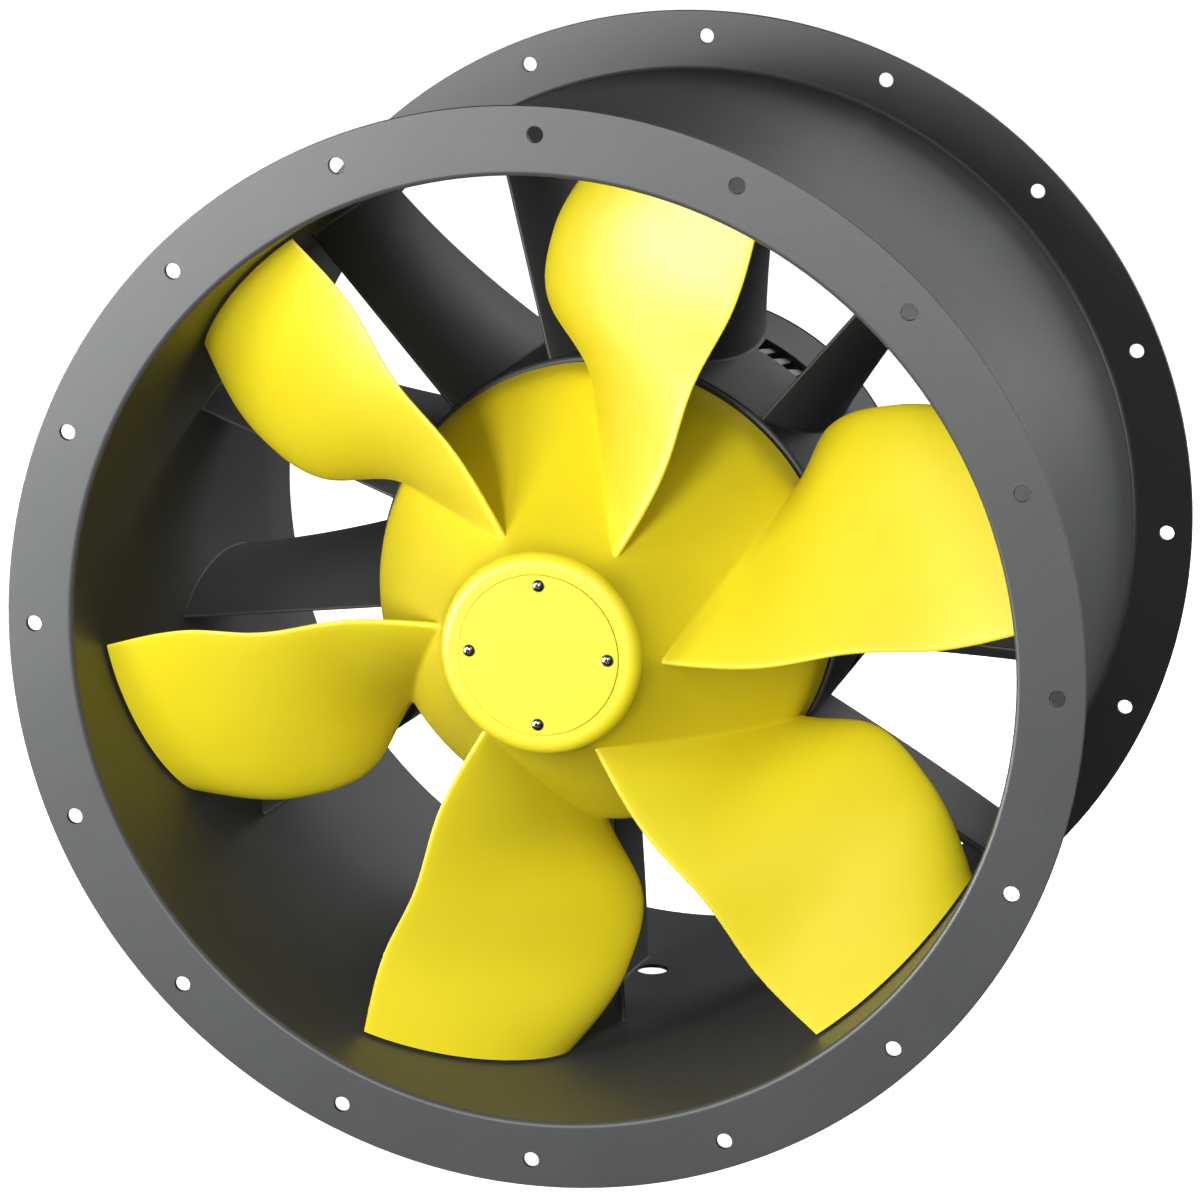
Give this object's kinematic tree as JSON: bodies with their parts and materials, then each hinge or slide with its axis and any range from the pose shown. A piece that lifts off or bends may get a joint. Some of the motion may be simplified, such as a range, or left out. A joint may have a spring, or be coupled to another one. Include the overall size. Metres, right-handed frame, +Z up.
{
  "type": "axial duct fan",
  "caption": "Axial duct fan: long round casing with a drilled flange at each end, cone-hubbed impeller with swept blades, and curved guide vanes holding a motor core.",
  "frame": {"origin": "middle of the casing, on the duct axis", "axes": "+Y along the duct axis from inlet to outlet (the impeller nose faces -Y), +Z up through a flange hole, +X to the right seen from the inlet"},
  "size_m": [0.816, 0.53, 0.816],
  "materials": {
    "grey_paint": "dark grey powder coat, satin",
    "yellow_plastic": "bright yellow moulded fibre-filled plastic, soft gloss",
    "dark_steel": "dark phosphated steel",
    "bright_steel": "ground steel",
    "zinc_screw": "zinc-plated steel",
    "dark_screw": "dark steel screw head",
    "aluminium": "cast aluminium",
    "copper": "enamelled copper wire",
    "magnet": "dull ferrite",
    "black_plastic": "black moulded plastic",
    "black_rubber": "matt rubber",
    "green_board": "glass-fibre board, solder mask"
  },
  "bodies": {
    "casing_and_stator": {"casing": "grey_paint", "core_tube": "grey_paint", "electronics_housing": "grey_paint", "rear_cover": "grey_paint", "motor_plate": "dark_steel", "cooling_body": "aluminium", "power_module": "black_plastic", "circuit_board": "green_board", "cover_gasket": "black_rubber", "cable_gland": "black_plastic", "stator_bushing": "aluminium", "stator_core": "dark_steel", "stator_windings": "copper", "front_bearing_outer_race": "bright_steel", "rear_bearing_outer_race": "bright_steel", "wave_spring": "bright_steel", "guide_vane_01": "grey_paint", "guide_vane_02": "grey_paint", "guide_vane_03": "grey_paint", "guide_vane_04": "grey_paint", "guide_vane_05": "grey_paint", "guide_vane_06": "grey_paint", "guide_vane_07": "grey_paint", "guide_vane_08": "grey_paint", "guide_vane_09": "grey_paint", "guide_vane_10": "grey_paint", "guide_vane_11": "grey_paint", "guide_vane_12": "grey_paint", "guide_vane_13": "grey_paint", "tie_bolt_1": "zinc_screw", "tie_bolt_2": "zinc_screw", "tie_bolt_3": "zinc_screw", "tie_bolt_4": "zinc_screw", "motor_bolt_1": "zinc_screw", "motor_bolt_2": "zinc_screw", "motor_bolt_3": "zinc_screw", "motor_bolt_4": "zinc_screw"},
    "impeller": {"impeller_hub": "yellow_plastic", "blade_1": "yellow_plastic", "blade_2": "yellow_plastic", "blade_3": "yellow_plastic", "blade_4": "yellow_plastic", "blade_5": "yellow_plastic", "blade_6": "yellow_plastic", "hub_cap": "yellow_plastic", "cap_screw_1": "dark_screw", "cap_screw_2": "dark_screw", "cap_screw_3": "dark_screw", "cap_screw_4": "dark_screw", "rotor_screw_1": "zinc_screw", "rotor_screw_2": "zinc_screw", "rotor_screw_3": "zinc_screw", "rotor_bell": "dark_steel", "magnet_ring": "magnet", "shaft": "bright_steel", "shaft_circlip": "dark_steel", "front_bearing_inner_race": "bright_steel", "rear_bearing_inner_race": "bright_steel"},
    "front_ball_cage": {"front_bearing_ball_cage": "bright_steel"},
    "rear_ball_cage": {"rear_bearing_ball_cage": "bright_steel"}
  },
  "joints": [
    {"name": "impeller_spin", "type": "hinge", "parent": "casing_and_stator", "child": "impeller", "pos_m": [0, 0, 0], "axis": [0, 1, 0], "continuous": true},
    {"name": "front_cage_spin", "type": "hinge", "parent": "casing_and_stator", "child": "front_ball_cage", "pos_m": [0, -0.168, 0], "axis": [0, 1, 0], "continuous": true},
    {"name": "rear_cage_spin", "type": "hinge", "parent": "casing_and_stator", "child": "rear_ball_cage", "pos_m": [0, -0.082, 0], "axis": [0, 1, 0], "continuous": true}
  ],
  "couplings": [
    {"joint": "front_cage_spin", "follows": "impeller_spin", "ratio": 0.4056},
    {"joint": "rear_cage_spin", "follows": "impeller_spin", "ratio": 0.4056}
  ]
}
